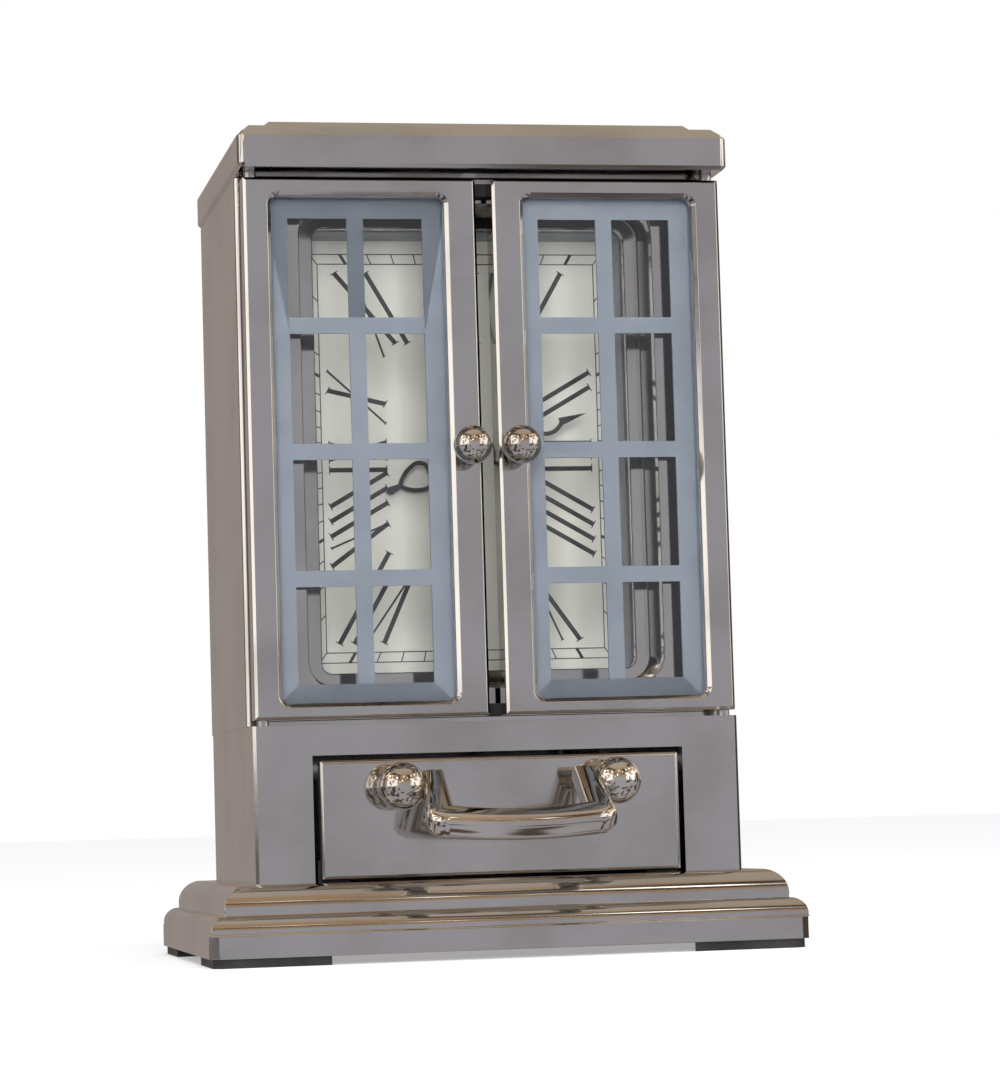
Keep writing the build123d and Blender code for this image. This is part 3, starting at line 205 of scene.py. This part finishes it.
case_plate = plated_metal("case_plate", (0.58, 0.565, 0.55), (0.50, 0.48, 0.46), 0.05, 0.5)
fitting_plate = plated_metal("fitting_plate", (0.66, 0.63, 0.59), (0.55, 0.51, 0.47), 0.05, 0.3)
# The feet's near-black colour is partly their own dark finish and partly painted shade, for the shadow
# under the plinth
dark_foot_with_painted_shade = painted("dark_foot_with_painted_shade", (0.035, 0.035, 0.038), (0.06, 0.058, 0.056), 0.42, 0.8, 0.6)
lattice_paint = painted("lattice_paint", (0.235, 0.265, 0.315), (0.21, 0.24, 0.285), 0.4)
# The dial surround's blue-grey is painted reflection: a matt colour standing in for the lattice and grey
# room that its plate mirrors
surround_painted_reflection = painted("surround_painted_reflection", (0.25, 0.275, 0.32), (0.22, 0.24, 0.28), 0.35)
black_satin = painted("black_satin", (0.012, 0.012, 0.013), (0.02, 0.02, 0.021), 0.38)
black_moulding = painted("black_moulding", (0.022, 0.022, 0.024), (0.032, 0.032, 0.034), 0.5, 1.0)
soft_pad = painted("soft_pad", (0.02, 0.02, 0.021), (0.03, 0.03, 0.031), 0.85, 1.0)
board_mask = painted("board_mask", (0.012, 0.09, 0.035), (0.016, 0.11, 0.045), 0.3)
brass = brushed("brass", (0.80, 0.58, 0.26), (0.66, 0.46, 0.20), 0.2, (1.0, 0.08, 1.0))
steel = brushed("steel", (0.56, 0.555, 0.55), (0.44, 0.435, 0.43), 0.2, (1.0, 1.0, 0.1))
cell_can = brushed("cell_can", (0.66, 0.66, 0.66), (0.56, 0.56, 0.56), 0.16, (0.1, 1.0, 1.0))
copper_wire = brushed("copper_wire", (0.62, 0.24, 0.10), (0.40, 0.14, 0.06), 0.3, (1.0, 0.05, 0.05))
tray_sheet = brushed("tray_sheet", (0.50, 0.50, 0.495), (0.40, 0.40, 0.395), 0.3, (1.0, 0.08, 1.0))
clear_acrylic = clear_sheet("clear_acrylic")
card = dial_card("card")

NODE_FINISHES = {
    "bracket_feet": dark_foot_with_painted_shade, "drawer_runners": black_moulding, "door_stops": soft_pad,
    "crystal": clear_acrylic, "dial_surround": surround_painted_reflection, "dial": card,
    "movement_plate": black_moulding, "movement_housing": black_moulding, "stator": steel,
    "motor_coil": copper_wire, "circuit_board": board_mask, "button_cell": cell_can,
    "cell_contact": brass, "drawer_tray": tray_sheet, "minute_hand": black_satin,
    "hour_hand": black_satin, "minute_arbor": brass, "hour_wheel": brass, "minute_wheel": brass,
    "setting_shaft": steel, "setting_knob": black_moulding, "left_door_pane": clear_acrylic,
    "right_door_pane": clear_acrylic, "left_door_lattice": lattice_paint,
    "right_door_lattice": lattice_paint, "left_door_pins": steel, "right_door_pins": steel,
}
for node_name, finish in NODE_FINISHES.items():
    mesh = NODES[node_name].data
    mesh.materials.clear()
    mesh.materials.append(finish)


# Shaping


def piece(name, bm, finish, body, stands_for=(), sharp_angle=35.0):
    """A finished mesh that rides on a body and may stand for CAD nodes."""
    mesh = bpy.data.meshes.new(name)
    bmesh.ops.remove_doubles(bm, verts=bm.verts, dist=0.000001)
    bmesh.ops.recalc_face_normals(bm, faces=bm.faces)
    bm.to_mesh(mesh)
    bm.free()
    mesh.shade_smooth()
    mesh.set_sharp_from_angle(angle=math.radians(sharp_angle))
    mesh.materials.append(finish)
    made = bpy.data.objects.new(name, mesh)
    bpy.context.scene.collection.objects.link(made)
    if stands_for:
        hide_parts(*stands_for)
    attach(made, body)
    return made


def softened_copy(node_name, finish, body, edge, limit=30.0):
    """A merged copy of a plated CAD part with every hard edge rounded over, as polishing leaves it."""
    bm = bmesh.new()
    bm.from_mesh(NODES[node_name].data)
    bmesh.ops.remove_doubles(bm, verts=bm.verts, dist=0.000001)
    bmesh.ops.join_triangles(bm, faces=bm.faces, angle_face_threshold=math.radians(0.5),
                             angle_shape_threshold=math.pi)
    made = piece(node_name + "_dress", bm, finish, body, (node_name,))
    rounding = made.modifiers.new("rounding", "BEVEL")
    rounding.width, rounding.segments, rounding.profile = edge * MM, 3, 0.5
    rounding.limit_method, rounding.angle_limit = "ANGLE", math.radians(limit)
    rounding.miter_outer, rounding.use_clamp_overlap = "MITER_ARC", True
    shading = made.modifiers.new("shading", "WEIGHTED_NORMAL")
    shading.keep_sharp = True
    return made


def outward(x, y, z):
    """Places a turned piece, made along its own Z axis, so that it stands out of a front face."""
    return Matrix.Translation(Vector((x, y, z)) * MM) @ Matrix.Rotation(math.radians(90), 4, "X")


def turned_post(bm, place, rose, neck, ball, ball_out):
    """Rose with a cove, neck and ball, spun about the post's axis and then moved to its place.

    Tagged vertices belong to a post that is in place already.
    """
    outline = [(0.0, 0.0), (rose, 0.0), (rose, ROSE_EDGE)]
    for step in range(1, COVE_STEPS + 1):
        turn = math.radians(90) * step / COVE_STEPS
        outline.append((rose - (rose - neck) * math.sin(turn),
                        ROSE_HEIGHT - (ROSE_HEIGHT - ROSE_EDGE) * math.cos(turn)))
    foot = math.asin(neck / ball)
    for step in range(BALL_STEPS + 1):
        turn = foot + (math.pi - foot) * step / BALL_STEPS
        outline.append((ball * math.sin(turn), ball_out - ball * math.cos(turn)))
    verts = [bm.verts.new(Vector((radius, 0.0, height)) * MM) for radius, height in outline]
    edges = [bm.edges.new(pair) for pair in zip(verts, verts[1:])]
    bmesh.ops.spin(bm, geom=verts + edges, axis=(0, 0, 1), cent=(0, 0, 0),
                   angle=math.tau, steps=POST_SEGMENTS, use_merge=True)
    bmesh.ops.transform(bm, matrix=place, verts=[v for v in bm.verts if not v.tag])
    for vert in bm.verts:
        vert.tag = True


def bail_outline():
    """Outline of the bail seen square to its plane: across, and down along it, swagged at the bar."""
    inner = BAIL_REACH - BAIL_HALF_THICK - BAIL_SWAG
    outer = BAIL_REACH + BAIL_HALF_THICK - BAIL_SWAG
    across = [step / BAIL_SWAG_STEPS for step in range(-BAIL_SWAG_STEPS, BAIL_SWAG_STEPS + 1)]
    over = [(BAIL_ARM_INNER * s, inner + BAIL_SWAG * (1 - s * s)) for s in across]
    under = [(-BAIL_BAR_OUTER * BAIL_CORNER_IN * s, outer + BAIL_SWAG * (1 - s * s)) for s in across]
    right = [(BAIL_ARM_INNER, -BAIL_HALF_THICK), (BAIL_ARM_OUTER, -BAIL_HALF_THICK),
             (BAIL_BAR_OUTER, inner), (BAIL_BAR_OUTER, outer - BAIL_CORNER_UP)]
    left = [(-x, y) for x, y in reversed(right)]
    return over + right + under + left


# Case, doors and drawer in polished plate

PLATED_PARTS = {
    "base_plinth": ("case", 0.08, 40.0), "lower_case": ("case", 0.1, 30.0),
    "upper_case": ("case", 0.12, 30.0), "roof_cornice": ("case", 0.14, 24.0),
    "rear_cover": ("case", 0.1, 40.0), "left_door_frame": ("left_door", 0.11, 30.0),
    "right_door_frame": ("right_door", 0.11, 30.0), "drawer_front": ("drawer", 0.11, 30.0),
}
for node_name, (body, edge, limit) in PLATED_PARTS.items():
    softened_copy(node_name, case_plate, body, edge, limit)

for side, door in ((-1, "left_door"), (1, "right_door")):
    bm = bmesh.new()
    turned_post(bm, outward(side * KNOB_X, DOOR_FRONT_Y, KNOB_Z),
                KNOB_ROSE, KNOB_NECK, KNOB_BALL, KNOB_BALL_OUT)
    piece(door + "_ball_knob", bm, fitting_plate, door, (door + "_knob",))

# Drawer pull: two turned posts, and the cast bail that stands out between them and points down
bm = bmesh.new()
for side in (-1, 1):
    turned_post(bm, outward(side * PULL_X, DRAWER_FRONT_Y, PULL_Z),
                PULL_ROSE, PULL_NECK, PULL_BALL, PULL_BALL_OUT)
bail = bmesh.new()
rim = [bail.verts.new(Vector((x, y, -BAIL_HALF_THICK)) * MM) for x, y in bail_outline()]
face = bail.faces.new(rim)
lifted = bmesh.ops.extrude_face_region(bail, geom=[face])
bmesh.ops.translate(bail, verts=[g for g in lifted["geom"] if isinstance(g, bmesh.types.BMVert)],
                    vec=(0, 0, 2 * BAIL_HALF_THICK * MM))
bmesh.ops.recalc_face_normals(bail, faces=bail.faces)
level_edges = [e for e in bail.edges if abs(e.verts[0].co.z - e.verts[1].co.z) < 1e-6]
bmesh.ops.bevel(bail, geom=level_edges, affect="EDGES", offset=BAIL_EDGE * MM,
                segments=BAIL_EDGE_STEPS, profile=0.5, material=-1, clamp_overlap=True)
drop = math.radians(BAIL_DROP_ANGLE)
down = Vector((0, -math.cos(drop), -math.sin(drop)))
up = Vector((1, 0, 0)).cross(down)
tilt = Matrix((Vector((1, 0, 0)), down, up)).transposed().to_4x4()
at_balls = Vector((0, DRAWER_FRONT_Y - PULL_BALL_OUT, PULL_Z)) * MM
bmesh.ops.transform(bail, matrix=Matrix.Translation(at_balls) @ tilt, verts=bail.verts)
bail_mesh = bpy.data.meshes.new("bail_part")
bail.to_mesh(bail_mesh)
bail.free()
bm.from_mesh(bail_mesh)
bpy.data.meshes.remove(bail_mesh)
piece("pull_casting", bm, fitting_plate, "drawer", ("drawer_pull",), 45.0)


# Dial print: a double minute track and Roman numerals that point at the centre, cut off by
# rectangles given as half width and half height

TRACK_OUTER = (15.1, 20.5)
TRACK_INNER = (14.15, 19.5)
NUMERAL_OUTER = (13.4, 18.6)
NUMERAL_INNER = (7.6, 11.5)
THICK_STROKE, THIN_STROKE, SERIF = 0.46, 0.2, 0.1
SERIF_REACH, LETTER_SPREAD = 0.95, 0.34
TRACK_LINE, MINUTE_TICK, FIVE_MINUTE_TICK = 0.1, 0.11, 0.3
LETTER_WIDTHS = {"I": 1.3, "V": 2.3, "X": 2.5}
NUMERALS = ("XII", "I", "II", "III", "IIII", "V", "VI", "VII", "VIII", "IX", "X", "XI")
INK_THICK = 0.02


def printed_line(bm, start, end, width):
    """A straight printed line on the dial between two (x, z) places from its centre."""
    start, end = Vector(start), Vector(end)
    along = end - start
    turn = Matrix.Rotation(math.atan2(along.x, along.y), 4, "Y")
    middle = (start + end) / 2
    place = Matrix.Translation(Vector((middle.x, DIAL_Y - INK_THICK / 2, DIAL_Z + middle.y)) * MM)
    size = Matrix.Diagonal((width * MM, INK_THICK * MM, along.length * MM, 1.0))
    bmesh.ops.create_cube(bm, size=1.0, matrix=place @ turn @ size)


def way_out(direction, start, half):
    """How far a line from start runs in a direction before it leaves a centred rectangle."""
    reach = []
    for axis in (0, 1):
        if abs(direction[axis]) > 1e-6:
            edge = math.copysign(half[axis], direction[axis])
            reach.append((edge - start[axis]) / direction[axis])
    return min(reach)


def rectangle_lines(bm, half, width):
    corners = [(-half[0], -half[1]), (half[0], -half[1]), (half[0], half[1]), (-half[0], half[1])]
    for start, end in zip(corners, corners[1:] + corners[:1]):
        printed_line(bm, start, end, width)


def numeral(bm, letters, hour):
    """One numeral whose feet point at the centre, between the inner and the outer rectangle."""
    turn = math.radians(30 * hour)
    out = Vector((math.sin(turn), math.cos(turn)))
    across = Vector((math.cos(turn), -math.sin(turn)))
    offset = -sum(LETTER_WIDTHS[letter] for letter in letters) / 2

    def stroke(foot, head, width):
        """Foot and head are offsets across the numeral at its inner and outer end."""
        inner = across * foot + out * way_out(out, across * foot, NUMERAL_INNER)
        outer = across * head + out * way_out(out, across * head, NUMERAL_OUTER)
        printed_line(bm, inner, outer, width)
        for end, half in ((inner, width), (outer, width)):
            reach = across * half * SERIF_REACH
            printed_line(bm, end - reach, end + reach, SERIF)

    for letter in letters:
        width = LETTER_WIDTHS[letter]
        middle = offset + width / 2
        spread = width * LETTER_SPREAD
        if letter == "I":
            stroke(middle, middle, THICK_STROKE)
        elif letter == "V":
            stroke(middle, middle - spread, THICK_STROKE)
            stroke(middle, middle + spread, THIN_STROKE)
        else:
            stroke(middle + spread, middle - spread, THICK_STROKE)
            stroke(middle - spread, middle + spread, THIN_STROKE)
        offset += width


bm = bmesh.new()
rectangle_lines(bm, TRACK_OUTER, TRACK_LINE)
rectangle_lines(bm, TRACK_INNER, TRACK_LINE)
for minute in range(60):
    turn = math.radians(6 * minute)
    out = Vector((math.sin(turn), math.cos(turn)))
    centre = Vector((0.0, 0.0))
    tick = (out * way_out(out, centre, TRACK_INNER), out * way_out(out, centre, TRACK_OUTER))
    printed_line(bm, *tick, FIVE_MINUTE_TICK if minute % 5 == 0 else MINUTE_TICK)
for hour, letters in enumerate(NUMERALS):
    numeral(bm, letters, hour)
piece("dial_print", bm, black_satin, "case")


# Screw heads on the rear cover and under the plinth

SCREW_RADIUS, SCREW_HEIGHT, SCREW_EDGE = 1.05, 0.5, 0.2
RECESS_RIM, RECESS_DEPTH = 0.3, 0.18


def screw_head(name, x, y, z, turn):
    """Pan head with a round recess, made facing up and turned about X to face back or down."""
    bm = bmesh.new()
    bmesh.ops.create_cone(bm, cap_ends=True, segments=40, radius1=SCREW_RADIUS * MM,
                          radius2=SCREW_RADIUS * MM, depth=SCREW_HEIGHT * MM)
    rim = [e for e in bm.edges if e.verts[0].co.z > 0 and e.verts[1].co.z > 0]
    bmesh.ops.bevel(bm, geom=rim, affect="EDGES", offset=SCREW_EDGE * MM, segments=4, profile=0.5,
                    material=-1)
    top = max(bm.faces, key=lambda f: f.calc_center_median().z)
    bmesh.ops.inset_individual(bm, faces=[top], thickness=RECESS_RIM * MM, depth=-RECESS_DEPTH * MM)
    bmesh.ops.translate(bm, verts=bm.verts, vec=(0, 0, SCREW_HEIGHT / 2 * MM))
    place = Matrix.Translation(Vector((x, y, z)) * MM) @ Matrix.Rotation(math.radians(turn), 4, "X")
    bmesh.ops.transform(bm, matrix=place, verts=bm.verts)
    piece(name, bm, steel, "case")


for side, word in ((-1, "left"), (1, "right")):
    for row, z in (("low", COVER_SCREW_BOTTOM_Z), ("top", COVER_SCREW_TOP_Z)):
        screw_head(f"cover_screw_{word}_{row}", side * COVER_SCREW_X, COVER_BACK_Y, z, -90)
    for row, y in (("front", BASE_SCREW_FRONT_Y), ("back", BASE_SCREW_BACK_Y)):
        screw_head(f"base_screw_{word}_{row}", side * BASE_SCREW_X, y, PLINTH_UNDERSIDE_Z, 180)


# Floor, light and the room that only the plate mirrors

FLOOR_HALF_SIZE, FLOOR_GLOW = 3.0, 0.3
ROOM_RADIUS = 1.5
GREY_WALL = (0.465, 0.46, 0.495)
DIM_WALL = (0.35, 0.30, 0.275)
WARM_CEILING = (0.50, 0.34, 0.21)
DARK_SHELF = (0.10, 0.075, 0.06)
HIGH_CEILING = (0.55, 0.47, 0.38)
WINDOW_GLOW = (4.0, 3.8, 3.4)
SIDE_GLOW = (1.7, 1.62, 1.5)


def floor_finish():
    f = new_finish("pale_floor")
    grain = f.noise(30.0, 3.0)
    seen = f.node("LightPath", {}, output=CAMERA_RAY)
    matt = f.node("BsdfDiffuse", {}, Color=f.blend(grain, (0.84, 0.84, 0.84), (0.86, 0.86, 0.86)))
    glow = f.node("Emission", {}, Color=(1.0, 1.0, 1.0, 1.0), Strength=seen * FLOOR_GLOW)
    return f.surface(f.node("AddShader", {}, matt, glow))


def room_finish():
    """The surroundings in the plate: grey in front, dim behind, warm above, with a few bright windows."""
    f = new_finish("mirrored_room")
    direction = f.node("VectorMath", {"operation": "NORMALIZE"}, f.place())
    x, y, z = (f.node("SeparateXYZ", {}, direction, output=axis) for axis in range(3))
    # Walls, lighter in front than behind, under a warm ceiling
    wall = f.blend(y.between(-0.3, 0.5), GREY_WALL, DIM_WALL)
    warm = f.blend(z.between(0.22, 0.36), wall, WARM_CEILING)
    # Dark shelves, everywhere but straight ahead, and a paler ceiling overhead
    blocks = f.node("Mapping", {}, Vector=direction, Scale=(6.0, 6.0, 1.2))
    stripes = f.node("TexNoise", {}, Vector=blocks, Scale=1.6)
    shelves = f.node("TexNoise", {}, Vector=direction, Scale=3.4, Detail=1.0)
    off_centre = (x * x + z * z).between(0.12, 0.3)
    shaded = f.blend(shelves.between(0.5, 0.58) * off_centre, warm, DARK_SHELF)
    high = f.blend(z.between(0.8, 0.92), shaded, HIGH_CEILING)
    # Narrow windows above eye level, and daylight from either side in front
    window = stripes.between(0.6, 0.64) * z.between(0.3, 0.34) * z.between(0.8, 0.7)
    lit = f.blend(window, high, WINDOW_GLOW)
    beside = (x * x).between(0.22, 0.3) * y.between(0.1, -0.1)
    level = z.between(0.0, 0.04) * z.between(0.6, 0.5)
    colour = f.blend(beside * level * stripes.between(0.42, 0.5), lit, SIDE_GLOW)
    return f.surface(f.node("Emission", {}, Color=colour, Strength=1.0))


def stage_piece(name, bm, finish):
    mesh = bpy.data.meshes.new(name)
    bm.to_mesh(mesh)
    bm.free()
    mesh.materials.append(finish)
    made = bpy.data.objects.new(name, mesh)
    bpy.context.scene.collection.objects.link(made)
    return made


bm = bmesh.new()
bmesh.ops.create_grid(bm, x_segments=1, y_segments=1, size=FLOOR_HALF_SIZE)
floor = stage_piece("floor", bm, floor_finish())
floor.visible_glossy = False

bm = bmesh.new()
bmesh.ops.create_uvsphere(bm, u_segments=48, v_segments=24, radius=ROOM_RADIUS)
room = stage_piece("mirrored_room", bm, room_finish())
room.visible_camera = room.visible_diffuse = room.visible_transmission = room.visible_shadow = False

world = bpy.data.worlds.new("studio")
bpy.context.scene.world = world
f = Finish(world)
direct = f.node("LightPath", {}, output=CAMERA_RAY) + f.node("LightPath", {}, output=TRANSMISSION_RAY)
f.surface(f.node("Background", {}, Color=(1.0, 1.0, 1.0, 1.0), Strength=direct * 0.5 + 0.5), "World")


def soft_lamp(name, place, aim, size, power):
    lamp = bpy.data.lights.new(name, "AREA")
    lamp.shape, lamp.size, lamp.energy = "DISK", size, power
    made = bpy.data.objects.new(name, lamp)
    made.location = place
    made.rotation_euler = (Vector(aim) - Vector(place)).to_track_quat("-Z", "Y").to_euler()
    made.visible_glossy = False
    bpy.context.scene.collection.objects.link(made)


soft_lamp("front_fill", (-0.10, -0.62, 0.12), (0.0, 0.0, 0.045), 0.3, 3.6)
soft_lamp("side_fill", (0.50, -0.45, 0.35), (0.0, 0.0, 0.04), 0.5, 1.6)

sun_data = bpy.data.lights.new("key", "SUN")
sun_data.energy, sun_data.angle = 1.0, math.radians(40)
sun = bpy.data.objects.new("key", sun_data)
sun.rotation_euler = Vector((0.15, 0.75, -1.0)).to_track_quat("-Z", "Y").to_euler()
sun.visible_glossy = False
bpy.context.scene.collection.objects.link(sun)

# Camera at the photograph's own viewpoint, solved from the case's edges

CAMERA_PLACE = (-64.17, -338.20, 13.50)
YAW, PITCH, ROLL = math.radians(11.29), math.radians(4.46), math.radians(-1.68)
FOCAL_PIXELS, PHOTO_WIDTH, SENSOR = 3459.63, 1000.0, 36.0

ahead = Vector((math.sin(YAW) * math.cos(PITCH), math.cos(YAW) * math.cos(PITCH), math.sin(PITCH)))
level_right = Vector((math.cos(YAW), -math.sin(YAW), 0.0))
level_up = level_right.cross(ahead)
right = level_right * math.cos(ROLL) + level_up * math.sin(ROLL)
upright = -level_right * math.sin(ROLL) + level_up * math.cos(ROLL)
camera_data = bpy.data.cameras.new("camera")
camera_data.sensor_fit, camera_data.sensor_width = "HORIZONTAL", SENSOR
camera_data.lens = FOCAL_PIXELS * SENSOR / PHOTO_WIDTH
camera_data.clip_start = 0.01
camera = bpy.data.objects.new("camera", camera_data)
turned = Matrix((right, upright, -ahead)).transposed().to_4x4()
camera.matrix_world = Matrix.Translation(Vector(CAMERA_PLACE) * MM) @ turned
bpy.context.scene.collection.objects.link(camera)
bpy.context.scene.camera = camera
bpy.context.scene.view_settings.view_transform = "Standard"
